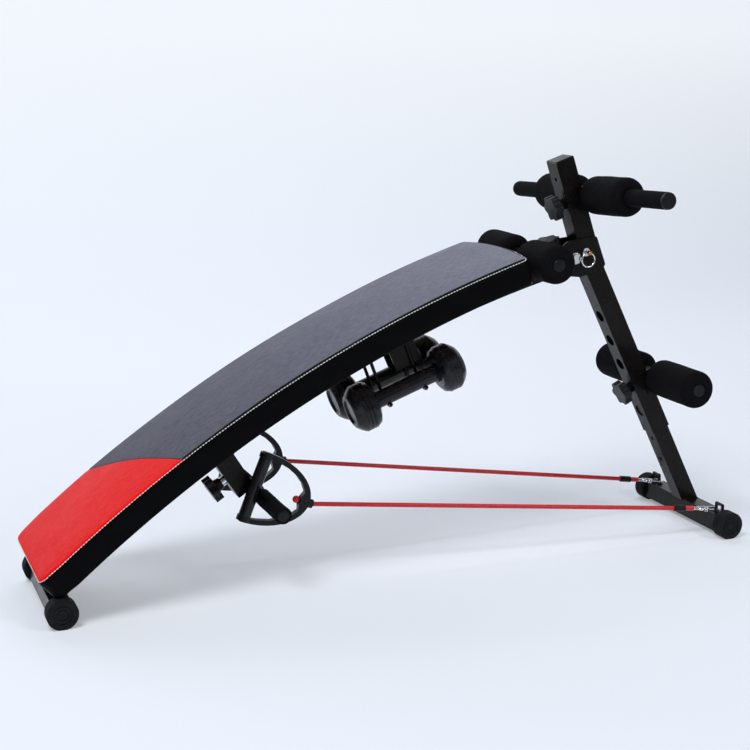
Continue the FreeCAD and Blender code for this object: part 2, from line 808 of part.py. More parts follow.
def snap_hook(tip, way):
    # oblong wire hook round the eye, open on the one side where the gate closes it
    up = V(0, 0, 1).cross(way)
    up.normalize()
    w = clip_in + clip_rod
    e0 = tip - way * (w - clip_rod - eye_rod - seat_gap)
    e1 = e0 - way * (clip_len - 2 * w)
    side = way.cross(up)

    def bow(c, sgn, part=180.0):
        # half ring about c, bulging along sgn * way
        t = Part.makeTorus(w, clip_rod, c, side)
        box = Part.makeBox(60, 60, 60)
        m = FreeCAD.Matrix()
        x = way * sgn
        zz = up
        yy = zz.cross(x)
        m.A11, m.A21, m.A31 = x.x, x.y, x.z
        m.A12, m.A22, m.A32 = yy.x, yy.y, yy.z
        m.A13, m.A23, m.A33 = zz.x, zz.y, zz.z
        o = c - yy * 30 - zz * 30
        m.A14, m.A24, m.A34 = o.x, o.y, o.z
        return t.common(box.transformGeometry(m))

    top = cyl(clip_rod, e1 + up * w, e0 + up * w)
    pin = e1 - up * w + way * gate_from
    stub = cyl(clip_rod, e1 - up * w, pin - way * (barrel_r + 1.2))
    neck = cyl(barrel_half + 1.6, pin - way * (barrel_r + 3.0), pin - way * (barrel_r + 0.8))
    cheeks = cyl(barrel_r + 0.4, pin - side * (barrel_half + 1.4), pin + side * (barrel_half + 1.4))
    cheeks = cheeks.fuse(neck)
    cheeks = cheeks.cut(cyl(barrel_r + 0.7, pin - side * (barrel_half + 0.15), pin + side * (barrel_half + 0.15)))
    stem = cyl(gate_pin_r, pin - side * (barrel_half + 1.0), pin + side * (barrel_half + 1.0))
    body = bow(e0, 1).fuse(bow(e1, -1)).fuse(top).fuse(stub).fuse(cheeks).fuse(stem)
    # swivel eye towards the strap
    tail = e1 - way * (w + clip_rod - 1.0)
    body = body.fuse(cyl(3.2, tail + way * 1.5, tail - way * 9))
    gate = cyl(clip_rod - 0.4, pin, e0 - up * w - way * 0.4)
    gate = gate.fuse(cyl(barrel_r, pin - side * barrel_half, pin + side * barrel_half))
    gate = gate.cut(cyl(gate_pin_r + run_gap, pin - side * 9, pin + side * 9))
    return body.removeSplitter(), gate, tail - way * 9, (pin, side)


out("foot_eyes", [foot_eye(-1), foot_eye(1)])
straps = []
ferrules = []
for sn, side in (("near", -1), ("far", 1)):
    tip = hook_point(side)
    start = sets[sn]
    way = tip - start
    way.normalize()
    body, gate, tail, gates[sn] = snap_hook(tip, way)
    out("snap_hook_" + sn, body)
    out("snap_gate_" + sn, gate)
    strap1 = tail - way * strap_len
    straps.append(cyl(4.6, strap1, tail))
    fer1 = strap1 - way * ferrule_len
    ferrules.append(cyl(6.0, fer1, strap1))
    bits = (fer1 - start).Length
    out("rope_" + sn, cyl(rope_r, start, fer1))
    print("rope", sn, "start", start, "end", fer1, "length", round(bits, 1))
out("rope_straps", straps)
out("rope_ferrules", ferrules)


# ---- dumbbells and their hanger --------------------------------------------
bell_c = V(bell_x, 0, bell_z)
bell_way = V(math.cos(rad(bell_slope)), 0, math.sin(rad(bell_slope)))
bell_up = V(-math.sin(rad(bell_slope)), 0, math.cos(rad(bell_slope)))
rod_y = tube / 2 + bracket_t + rod_r
hook_r = bell_grip_r + rod_r + seat_gap
bell_y = rod_y + hook_r


def dumbbell(side):
    # one lathe-turned piece: grip, collars and grooved, domed heads
    g = bell_gap / 2
    h = bell_head
    r = bell_r
    half = [(0.0, bell_grip_r), (g - 5, bell_grip_r), (g - 4, bell_grip_r + 3), (g, bell_grip_r + 3),
            (g + 0.5, r - 12), (g + 5, r - 4), (g + 12, r - 0.6)]
    for k in range(3):
        d = g + 13 + 7.0 * k
        half += [(d, r), (d + 4.6, r), (d + 5.2, r - 1.0), (d + 6.0, r - 1.0)]
    half += [(g + 34, r - 1.5), (g + 40, r - 6), (g + h - 1.5, r - 13), (g + h, r - 16),
             (g + h, r - 19), (g + h - 3, r - 21)]
    prof = [(-d, q) for d, q in reversed(half[1:])] + half
    c = bell_c + V(0, side * bell_y, 0)
    pts = [c + bell_way * d + bell_up * q for d, q in prof]
    pts = [c + bell_way * prof[0][0]] + pts + [c + bell_way * prof[-1][0]]
    face = Part.Face(Part.makePolygon(pts + [pts[0]]))
    return face.revolve(c, bell_way, 360)


out("dumbbell_near", dumbbell(-1))
out("dumbbell_far", dumbbell(1))



def hanger_rod(at, side):
    c = bell_c + bell_way * at
    y = side * bell_y
    inner = side * rod_y
    m = c + V(0, y, 0)
    out_a = rad(-90 + 42)
    p0 = V(c.x, inner, c.z)
    rise = 0.0
    while True:
        q = p0 + bell_up * rise
        if math.hypot(q.x - arc_x, q.z - arc_z) > bend_r - 14:
            break
        rise += 1.0
    up_rod = cyl(rod_r, p0, p0 + bell_up * rise)

    def on(a):
        return m + V(0, side * hook_r * math.cos(a), 0) + bell_up * (hook_r * math.sin(a))

    path = Part.Arc(on(math.pi), on(-math.pi * 0.55), on(out_a)).toShape()
    prof = Part.Wire(Part.makeCircle(rod_r, on(math.pi), bell_up))
    bow = Part.Wire(path).makePipeShell([prof], True, True)
    tip = Part.makeSphere(rod_r, on(out_a))
    return up_rod.fuse(bow).fuse(tip).removeSplitter()


out("hanger_rods", [hanger_rod(at, side) for at in rod_at for side in (-1, 1)])


def hanger_bracket():
    # strips on both sides of the main tube, with a channel hanging below it
    a_mid = math.degrees(math.atan2(arc_x - bell_x, bell_z - arc_z))
    a0 = a_mid - deg_for(bracket_head)
    a1 = a_mid + deg_for(bracket_tail)
    y0 = tube / 2
    strip = sector(bend_r - tube + 4, bend_r - 8, a0, a1, y0, y0 + bracket_t)
    a2 = a_mid - deg_for(4)
    deep = sector(bend_r - tube - bracket_deep, bend_r - 8, a0, a2, y0, y0 + bracket_t)
    side = strip.fuse(deep)
    web = sector(bend_r - tube - bracket_deep, bend_r - tube - bracket_deep + bracket_t, a0, a2, -y0, y0)
    return side.fuse(mirror_y(side)).fuse(web).removeSplitter()


out("hanger_bracket", hanger_bracket())
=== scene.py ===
# %% [markdown]
# A folding sit-up bench: a curved padded board on one bent tube, a post that folds on a bolt, foam
# rollers for the legs, two pull ropes and a pair of dumbbells under the board.
# The steel, rubber and plastic parts arrive as exact solids with their joints. This lesson keeps
# those shapes, gives them their finishes, and makes what solids do badly: the stuffed board, the
# foam and the ropes. Everything is in metres, and nothing that arrives is moved.

# %% Load the solids
import json
import math
import random

import bmesh
import bpy
from mathutils import Matrix, Quaternion, Vector
from mathutils.bvhtree import BVHTree


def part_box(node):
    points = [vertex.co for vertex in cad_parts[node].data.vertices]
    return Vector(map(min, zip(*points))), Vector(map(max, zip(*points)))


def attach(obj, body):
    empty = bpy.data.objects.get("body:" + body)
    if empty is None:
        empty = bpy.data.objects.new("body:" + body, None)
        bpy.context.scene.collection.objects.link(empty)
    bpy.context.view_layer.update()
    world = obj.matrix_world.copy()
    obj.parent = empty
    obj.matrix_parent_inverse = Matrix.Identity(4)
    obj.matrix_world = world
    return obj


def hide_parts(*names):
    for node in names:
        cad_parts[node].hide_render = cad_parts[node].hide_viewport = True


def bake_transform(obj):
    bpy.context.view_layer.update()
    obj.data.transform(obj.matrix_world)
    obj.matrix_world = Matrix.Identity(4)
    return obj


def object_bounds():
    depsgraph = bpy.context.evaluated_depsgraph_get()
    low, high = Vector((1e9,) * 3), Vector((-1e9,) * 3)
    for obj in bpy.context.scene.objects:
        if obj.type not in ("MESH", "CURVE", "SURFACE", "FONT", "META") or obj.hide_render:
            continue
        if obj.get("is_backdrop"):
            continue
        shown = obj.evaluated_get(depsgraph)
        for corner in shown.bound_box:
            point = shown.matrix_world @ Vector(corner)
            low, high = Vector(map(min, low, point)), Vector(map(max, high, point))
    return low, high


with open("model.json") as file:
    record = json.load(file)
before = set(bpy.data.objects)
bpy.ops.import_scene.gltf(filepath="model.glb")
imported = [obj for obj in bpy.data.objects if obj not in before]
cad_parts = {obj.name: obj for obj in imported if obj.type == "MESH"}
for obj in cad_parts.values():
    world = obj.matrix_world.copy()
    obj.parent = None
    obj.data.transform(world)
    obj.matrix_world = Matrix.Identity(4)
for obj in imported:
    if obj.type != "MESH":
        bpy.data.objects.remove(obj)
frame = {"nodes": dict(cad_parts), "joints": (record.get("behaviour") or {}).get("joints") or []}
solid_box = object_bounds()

MM = 0.001

# %% [markdown]
# The camera comes first, because it says which sides matter most. A short lens would bend the long
# curve of the board, so a long lens looks across it from the tail, from a little above.

# %% Camera
CAMERA_AT = Vector((-0.97185, -2.37519, 0.90403))
TURN, DROP, ROLL = math.radians(21.49), math.radians(12.40), math.radians(-0.18)
LENS = 70.74


def make_camera():
    data = bpy.data.cameras.new("camera")
    data.lens = LENS
    data.sensor_width = 36.0
    cam = bpy.data.objects.new("camera", data)
    bpy.context.scene.collection.objects.link(cam)
    ahead = Vector((math.sin(TURN) * math.cos(DROP), math.cos(TURN) * math.cos(DROP), -math.sin(DROP)))
    cam.rotation_mode = "QUATERNION"
    cam.rotation_quaternion = ahead.to_track_quat("-Z", "Y") @ Quaternion((0, 0, 1), ROLL)
    cam.location = CAMERA_AT
    bpy.context.scene.camera = cam
    return cam


camera = make_camera()
print("camera", tuple(round(c, 3) for c in camera.location))

# %% [markdown]
# The small helpers below are used all the way through. A piece is a mesh object that rides on one
# of the bodies, so that it moves when the bench folds. Meshes are built ring by ring with bmesh,
# and not from primitives, because most of the bench's soft pieces are swept along a line.

# %% Helpers for meshes


def middle(node):
    lo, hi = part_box(node)
    return (Vector(lo) + Vector(hi)) / 2


def new_piece(name, bm, body=None, smooth=True):
    mesh = bpy.data.meshes.new(name)
    bm.to_mesh(mesh)
    bm.free()
    for face in mesh.polygons:
        face.use_smooth = smooth
    obj = bpy.data.objects.new(name, mesh)
    bpy.context.scene.collection.objects.link(obj)
    if body:
        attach(obj, body)
    return obj


def frame_of(way):
    # two directions square to the given one
    way = way.normalized()
    side = way.cross(Vector((0, 0, 1)))
    if side.length < 1e-4:
        side = way.cross(Vector((1, 0, 0)))
    side.normalize()
    return side, side.cross(way)


def add_tube(bm, points, radii, sides=16, closed_ends=True):
    # rings of vertices along a line, joined into a skin
    rings = []
    for i, p in enumerate(points):
        before = points[max(i - 1, 0)]
        after = points[min(i + 1, len(points) - 1)]
        u, v = frame_of(after - before)
        r = radii[i] if hasattr(radii, "__len__") else radii
        ring = []
        for k in range(sides):
            a = 2 * math.pi * k / sides
            ring.append(bm.verts.new(p + u * (r * math.cos(a)) + v * (r * math.sin(a))))
        rings.append(ring)
    for a, b in zip(rings, rings[1:]):
        for k in range(sides):
            j = (k + 1) % sides
            bm.faces.new((a[k], a[j], b[j], b[k]))
    if closed_ends:
        bm.faces.new(rings[0][::-1])
        bm.faces.new(rings[-1])
    return rings


# %% [markdown]
# Finishes could be painted onto unwrapped parts, but here they are procedural: noise in the object's
# own space, so the grain keeps its size on every part and needs no unwrapping. One function makes
# the shader, and small ones add colour, gloss and relief to it.

# %% Helpers for finishes


def new_finish(name, color, rough, metallic=0.0, specular=0.5, coat=0.0, coat_rough=0.1):
    mat = bpy.data.materials.new(name)
    mat.use_nodes = True
    shader = mat.node_tree.nodes["Principled BSDF"]
    shader.inputs["Base Color"].default_value = (*color, 1)
    shader.inputs["Roughness"].default_value = rough
    shader.inputs["Metallic"].default_value = metallic
    shader.inputs["Specular IOR Level"].default_value = specular
    shader.inputs["Coat Weight"].default_value = coat
    shader.inputs["Coat Roughness"].default_value = coat_rough
    return mat


def node(mat, kind, **inputs):
    made = mat.node_tree.nodes.new(kind)
    for key, value in inputs.items():
        made.inputs[key.replace("_", " ")].default_value = value
    return made


def wire(mat, a, out, b, into):
    mat.node_tree.links.new(a.outputs[out], b.inputs[into])


def noise(mat, scale, detail=3.0, rough=0.55, stretch=None):
    # noise in object space, in cells per metre; stretch squeezes it along an axis
    where = mat.node_tree.nodes.new("ShaderNodeTexCoord")
    made = node(mat, "ShaderNodeTexNoise", Scale=scale, Detail=detail, Roughness=rough)
    if stretch:
        mapping = mat.node_tree.nodes.new("ShaderNodeMapping")
        mapping.inputs["Scale"].default_value = stretch
        wire(mat, where, "Object", mapping, "Vector")
        wire(mat, mapping, "Vector", made, "Vector")
    else:
        wire(mat, where, "Object", made, "Vector")
    return made


def cells(mat, scale):
    # small rounded cells, as in foam or pebbled vinyl
    where = mat.node_tree.nodes.new("ShaderNodeTexCoord")
    made = node(mat, "ShaderNodeTexVoronoi", Scale=scale)
    wire(mat, where, "Object", made, "Vector")
    return made


def grade(mat, source, out, low, high, start=0.35, stop=0.65):
    # a colour between two colours, following a texture
    ramp = mat.node_tree.nodes.new("ShaderNodeValToRGB")
    for end, place, color in zip(ramp.color_ramp.elements, (start, stop), (low, high)):
        end.position = place
        end.color = (*color, 1)
    wire(mat, source, out, ramp, "Fac")
    return ramp


def tint(mat, source, out, low, high, start=0.35, stop=0.65):
    ramp = grade(mat, source, out, low, high, start, stop)
    wire(mat, ramp, "Color", mat.node_tree.nodes["Principled BSDF"], "Base Color")


def vary_rough(mat, source, out, low, high):
    made = node(mat, "ShaderNodeMapRange", From_Min=0.3, From_Max=0.7, To_Min=low, To_Max=high)
    wire(mat, source, out, made, "Value")
    wire(mat, made, "Result", mat.node_tree.nodes["Principled BSDF"], "Roughness")


def bumps(mat, *layers):
    # each layer is (node, output, strength, height in metres), stacked into one normal
    last = None
    for source, out, strength, height in layers:
        made = node(mat, "ShaderNodeBump", Strength=strength, Distance=height)
        wire(mat, source, out, made, "Height")
        if last:
            wire(mat, last, "Normal", made, "Normal")
        last = made
    wire(mat, last, "Normal", mat.node_tree.nodes["Principled BSDF"], "Normal")


def dress(finish, *names):
    for name in names:
        obj = frame["nodes"][name]
        if not obj.material_slots:
            obj.data.materials.append(finish)
        for slot in obj.material_slots:
            slot.material = finish


# %% [markdown]
# The pull ropes are solid latex cords, a little elastic, and they run taut from a stirrup handle to
# a clip on the front foot. A plain cylinder would do while nothing moves, and when the post folds,
# one end goes with it. Each rope here is a skin with rings along its length, laid once along its route.

# %% Ropes
ROPE_R = 4.0 * MM
ROPES = {
    "near": [(-0.170474, -0.036, 0.130369), (0.535251, -0.093656, 0.055622)],
    "far": [(-0.165219, 0.128, 0.165214), (0.535514, 0.104062, 0.059609)],
}
RUN_IN = 0.07


def route_points(name, points):
    # the route's own smooth curve, read back as a chain of points
    a, b = (Vector(p) for p in points)
    points = [a, a.lerp(b, RUN_IN), b.lerp(a, RUN_IN), b]
    data = bpy.data.curves.new(name + "_route", "CURVE")
    data.dimensions = "3D"
    data.resolution_u = 16
    spline = data.splines.new("NURBS")
    spline.points.add(len(points) - 1)
    for p, q in zip(spline.points, points):
        p.co = (*q, 1)
    spline.order_u = 3
    spline.use_endpoint_u = True
    obj = bpy.data.objects.new(name + "_route", data)
    line = bpy.data.meshes.new_from_object(obj)
    found = [v.co.copy() for v in line.vertices]
    bpy.data.meshes.remove(line)
    bpy.data.objects.remove(obj)
    return found


def latex_finish():
    mat = new_finish("red_latex", (0.60, 0.012, 0.02), 0.38, specular=0.45)
    grain = noise(mat, 260.0, 4.0)
    tint(mat, grain, "Fac", (0.50, 0.008, 0.014), (0.68, 0.018, 0.028))
    vary_rough(mat, grain, "Fac", 0.3, 0.46)
    ribs = noise(mat, 700.0, 2.0)
    bumps(mat, (ribs, "Fac", 0.25, 0.0002))
    return mat


red_latex = latex_finish()
for side, points in ROPES.items():
    chain = route_points("rope_" + side, points)
    bm = bmesh.new()
    add_tube(bm, chain, ROPE_R, sides=20)
    rope = new_piece("latex_rope_" + side, bm)
    rope.data.materials.append(red_latex)
    reach = sum((b - a).length for a, b in zip(chain, chain[1:]))
    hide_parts("rope_" + side)
    tuple(points[0])
    [tuple(p) for p in chain]
    tuple(points[0])
    tuple(points[-1])
    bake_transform(rope)
    print("rope", side, round(reach, 4), "m,", len(chain), "rings")
dress(red_latex, "rope_knots")

# %% [markdown]
# The board is a sheet of plywood under soft foam, in a vinyl cover pulled tight. The whole of it lies
# on the bent tube, so its underside is an arc. The foam is made flat, as an upholsterer cuts it,
# and bent onto the arc at the end: on the flat, seams and panels are simple measurements.

# %% The board's arc and its flat layout
BEND_R = 2.318
TAIL_SLOPE = math.radians(41.2)
TUBE = 38.0 * MM
BOARD_TAIL = math.radians(41.0)
BOARD_HEAD = math.radians(17.0)
HEAD_BULGE = 14.0 * MM
BOARD_W = 265.0 * MM
TAIL_W = 247.0 * MM
FLARE = 60.0 * MM
CORNER = 14.0 * MM
TOP = 48.0 * MM
foot_at = middle("tail_foot_tube")
ARC = Vector((foot_at.x + (BEND_R - TUBE / 2) * math.sin(TAIL_SLOPE), 0,
              foot_at.z - (BEND_R - TUBE / 2) * math.cos(TAIL_SLOPE)))
BOARD_L = (BEND_R + TOP) * (BOARD_TAIL - BOARD_HEAD)


def onto_arc(p):
    # (along from the tail edge, across, height over the tube) to its place on the bench
    angle = BOARD_TAIL - p[0] / (BEND_R + TOP)
    r = BEND_R + p[2]
    return Vector((ARC.x - r * math.sin(angle), p[1], ARC.z + r * math.cos(angle)))


def half_width(x):
    # the board narrows a little over the last stretch before its tail edge
    t = max(0.0, 1 - x / FLARE)
    return BOARD_W / 2 - (BOARD_W - TAIL_W) / 2 * t * t


def board_outline(inset, corner, step=6.0 * MM):
    # the board's edge on the flat, anticlockwise, with rounded corners and a bowed head end
    half = BOARD_W / 2 - inset
    r = max(corner - inset, 2 * MM)
    head = BOARD_L - inset - r
    edge = []
    for k in range(8):
        a = math.pi / 2 * k / 7
        x = inset + r * (1 - math.cos(a))
        edge.append((x, half_width(x) - inset - r * (1 - math.sin(a))))
    n = int(BOARD_L / step)
    for k in range(1, n):
        x = inset + r + (head - inset - r) * k / n
        edge.append((x, half_width(x) - inset))
    for k in range(8):
        a = math.pi / 2 * (1 - k / 7)
        edge.append((head + r * math.cos(a), half - r * (1 - math.sin(a))))
    pts = [Vector((x, -y, 0)) for x, y in edge]
    m = int(BOARD_W / step)
    for k in range(1, m):
        y = (half - r) * (2 * k / m - 1)
        pts.append(Vector((BOARD_L - inset + HEAD_BULGE * (1 - (y / (half - r)) ** 2), y, 0)))
    pts += [Vector((x, y, 0)) for x, y in reversed(edge)]
    low = TAIL_W / 2 - inset - r
    for k in range(1, m):
        pts.append(Vector((inset, low * (1 - 2 * k / m), 0)))
    return pts


print("board", round(BOARD_L, 3), "m long on its top")

# %% [markdown]
# Before it is covered, the pad is a slab of foam with its upper edge rounded over. It could be a box
# with a bevel, but the bevel would follow neither the bowed head end nor the flared tail, so the
# slab is a stack of outlines, each drawn a little further in.

# %% The slab on the flat
SEAM_H = 43.0 * MM
LAYERS = ((1.2, -1.2), (0.4, 4.0), (0.2, 20.0), (0.2, 38.0), (0.6, 43.5), (2.6, 46.0), (6.5, 47.4))


def edge_gap(x, y):
    # how far inside the board's edge a point on the flat lies
    bow = BOARD_L + HEAD_BULGE * (1 - (2 * y / BOARD_W) ** 2)
    return min(half_width(x) - abs(y), x, bow - x)


def slab_on_the_flat():
    bm = bmesh.new()
    rings = []
    for inset, height in LAYERS:
        up = Vector((0, 0, height * MM))
        rings.append([bm.verts.new(p + up) for p in board_outline(inset * MM, CORNER)])
    n = len(rings[0])
    for low, high in zip(rings, rings[1:]):
        for k in range(n):
            j = (k + 1) % n
            bm.faces.new((low[k], low[j], high[j], high[k]))
    bm.faces.new(rings[0][::-1])
    bm.faces.new(rings[-1])
    bmesh.ops.triangulate(bm, faces=[f for f in bm.faces if len(f.verts) > 4])
    bmesh.ops.recalc_face_normals(bm, faces=bm.faces)
    return new_piece("board_pad_cover", bm)


pad = slab_on_the_flat()
print("slab of", len(LAYERS), "outlines,", len(pad.data.vertices), "vertices")

# %% [markdown]
# The cover is pulled tight over the foam, so its top crowns up between the seams. That could be
# sculpted, but cloth finds the shape by itself: a voxel remesh gives the slab even cells, and a run
# under a little inside pressure pushes the cover out until it is taut. The underside is pinned,
# because plywood holds it flat, and so is the sewn edge. The swelling is capped, because the foam
# is a firm one.

# %% The taut cover
SWELL_TOP = 6.0 * MM
SWELL_BAND = 2.2 * MM
VOXEL = 5.0 * MM
AIR_FRAMES = 20


def is_held(p):
    # plywood under the foam and the thread along the edge both hold the cover
    sewn = abs(p.z - SEAM_H) < 3.5 * MM and edge_gap(p.x, p.y) < 4 * MM
    return 1.0 if sewn or p.z < 8 * MM else 0.0


def baked_mesh(obj):
    deps = bpy.context.evaluated_depsgraph_get()
    mesh = bpy.data.meshes.new_from_object(obj.evaluated_get(deps))
    old = obj.data
    obj.modifiers.clear()
    obj.data = mesh
    bpy.data.meshes.remove(old)


def remeshed(obj, size):
    mod = obj.modifiers.new("voxels", "REMESH")
    mod.mode = "VOXEL"
    mod.voxel_size = size
    baked_mesh(obj)


def inflate(obj, pinned):
    group = obj.vertex_groups.new(name="held")
    for v in obj.data.vertices:
        weight = pinned(v.co)
        if weight > 0:
            group.add([v.index], weight, "REPLACE")
    cloth = obj.modifiers.new("air", "CLOTH")
    s = cloth.settings
    s.quality = 6
    s.mass = 0.4
    s.tension_stiffness = s.compression_stiffness = 60
    s.shear_stiffness = 30
    s.bending_stiffness = 12
    s.use_pressure = True
    s.uniform_pressure_force = 4.0
    s.vertex_group_mass = "held"
    s.effector_weights.gravity = 0.0
    cloth.point_cache.frame_start = 1
    cloth.point_cache.frame_end = AIR_FRAMES
    start = [v.co.copy() for v in obj.data.vertices]
    scene = bpy.context.scene
    for f in range(1, AIR_FRAMES + 1):
        scene.frame_set(f)
    baked_mesh(obj)
    scene.frame_set(1)
    moved = 0.0
    for v, p in zip(obj.data.vertices, start):
        d = v.co - p
        most = SWELL_TOP if p.z > SEAM_H else SWELL_BAND
        if d.length > most:
            v.co = p + d.normalized() * most
        moved = max(moved, (v.co - p).length)
    return moved


remeshed(pad, VOXEL)
print("swelled by", round(inflate(pad, is_held) / MM, 1), "mm")
print("pad", len(pad.data.vertices), "vertices")

# %% [markdown]
# The cover is a top panel that comes a little way down over the edge, and a side band. Where they
# are sewn together the thread pulls the vinyl in, and that narrow groove is what makes a pad look
# sewn. The red panel and the black one, under a painted grey sheen, meet in one slanting seam.
# Underneath, the cover is turned in, and the plywood shows inside that hem. A bump in the finish
# would vanish against the light, so all of these are moved into the mesh.

# %% Seams in the cover
GROOVE, GROOVE_W = 1.3 * MM, 2.4 * MM
DIP, DIP_W = 0.9 * MM, 2.2 * MM
SLACK, PUCKER = 0.5 * MM, 0.9 * MM
HEM_T = 1.2 * MM
HEM_W = 28.0 * MM
SLANT_NEAR, SLANT_FAR = 0.304, 0.169
SLANT_BOW = 5.0 * MM


def slant_at(y):
    # where the red panel ends, measured from the tail edge
    t = y / BOARD_W + 0.5
    return SLANT_NEAR + (SLANT_FAR - SLANT_NEAR) * t + SLANT_BOW * math.sin(math.pi * t)


def sew(obj):
    sub = obj.modifiers.new("finer", "SUBSURF")
    sub.levels = sub.render_levels = 1
    baked_mesh(obj)
    wave = random.Random(4)
    phase = [wave.uniform(0, 6.28) for _ in range(4)]
    for v in obj.data.vertices:
        x, y, h = v.co
        gap = edge_gap(x, y)
        if h > 20 * MM and gap < 14 * MM:
            pull = GROOVE * math.exp(-((h - SEAM_H) / GROOVE_W) ** 2)
            inward = Vector((BOARD_L / 2 - x, -y, 0))
            if x < 18 * MM or x > BOARD_L - 6 * MM:
                inward.y = 0
            else:
                inward.x = 0
            inward.normalize()
            v.co += inward * pull
        if h < 3 * MM:
            inner = max((gap - HEM_W) / (3 * MM), (TUBE / 2 + 6 * MM - abs(y)) / (3 * MM))
            v.co.z += (HEM_T + 1.0 * MM) * min(1.0, max(0.0, inner))
        if h > 44 * MM:
            line = abs(x - slant_at(y)) * 0.87
            v.co.z -= DIP * math.exp(-(line / DIP_W) ** 2)
            v.co.z += SLACK * math.sin(x * 19 + phase[0]) * math.sin(y * 24 + phase[1])
        if 6 * MM < h < 38 * MM and gap < 8 * MM:
            ripple = math.sin(x * 61 + h * 90 + phase[2]) * math.sin(x * 23 + phase[3])
            v.co.y += (PUCKER if y > 0 else -PUCKER) * ripple * math.sin(math.pi * (h / MM - 6) / 32)


def remember(name, values):
    # the flat measurements stay on the mesh, for the finish to ask
    kept = pad.data.attributes.new(name, "FLOAT", "POINT")
    kept.data.foreach_set("value", values)


sew(pad)
for axis, name in enumerate(("along", "across", "height")):
    remember(name, [v.co[axis] for v in pad.data.vertices])
remember("gap", [edge_gap(v.co.x, v.co.y) for v in pad.data.vertices])
flat_tree = BVHTree.FromPolygons([v.co.copy() for v in pad.data.vertices],
                                 [tuple(p.vertices) for p in pad.data.polygons])
for v in pad.data.vertices:
    v.co = onto_arc(v.co)
for face in pad.data.polygons:
    face.use_smooth = True
pad.data.update()
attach(pad, "bench")
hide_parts("board_pad")
print("pad cover faces", len(pad.data.polygons))

# %% [markdown]
# The cover has panels of different colours. Each could be a mesh of its own, but then the seams
# between them would show gaps. The measurements kept on the mesh let one shader tell the panels
# apart, and these helpers read them, do sums with them and mix colours by the result.

# %% Helpers for panels


def attribute(mat, name):
    made = mat.node_tree.nodes.new("ShaderNodeAttribute")
    made.attribute_name = name
    return made


def maths(mat, kind, a, b):
    made = mat.node_tree.nodes.new("ShaderNodeMath")
    made.operation = kind
    for i, value in enumerate((a, b)):
        if isinstance(value, (int, float)):
            made.inputs[i].default_value = value
        else:
            mat.node_tree.links.new(value, made.inputs[i])
    return made.outputs[0]


def mix_colors(mat, factor, a, b):
    made = mat.node_tree.nodes.new("ShaderNodeMix")
    made.data_type = "RGBA"
    mat.node_tree.links.new(factor, made.inputs["Factor"])
    for key, value in (("A", a), ("B", b)):
        socket = [s for s in made.inputs if s.name == key and s.type == "RGBA"][0]
        if isinstance(value, tuple):
            socket.default_value = (*value, 1)
        else:
            mat.node_tree.links.new(value, socket)
    return [s for s in made.outputs if s.type == "RGBA"][0]


print("panels are told apart by along, across, height and gap")

# %% [markdown]
# The vinyl of the cover is black, and the grey of the top is a painted sheen: the pale backdrop's
# reflection, with fine streaks along the board, as if brushed, painted darker at the tail and lighter
# at the head, where the sheen is stronger. The red panel has the same streaks, and the same painted
# sheen pales its red. Where the cover rolls over the edge both lose their streaks and their painted
# sheen, and show plain black and a pure red; the side band is plain black. The streaks are noise
# squeezed along the board.

# %% Vinyl
TOP_SHINE, BAND_SHINE = 0.025, 0.04
ROLL_W = 8 * MM
STREAK_FROM, STREAK_TO = 0.36, 0.66
RED_ROLL = (0.86, 0.006, 0.005)
BLACK_ROLL = (0.004, 0.004, 0.005)
BLACK_BAND = (0.0022, 0.0022, 0.0028)
BLACK_THREAD = (0.012, 0.012, 0.014)
THREAD_LINE = 0.9 * MM


def streaks(mat, along, across, height):
    # brushed streaks, long along the board and fine across it: relief in the vinyl, and the break-up of
    # its painted sheen
    place = mat.node_tree.nodes.new("ShaderNodeCombineXYZ")
    mat.node_tree.links.new(maths(mat, "MULTIPLY", along, 0.09), place.inputs[0])
    mat.node_tree.links.new(across, place.inputs[1])
    mat.node_tree.links.new(height, place.inputs[2])
    made = node(mat, "ShaderNodeTexNoise", Scale=900.0, Detail=4.0, Roughness=0.65)
    wire(mat, place, "Vector", made, "Vector")
    return made


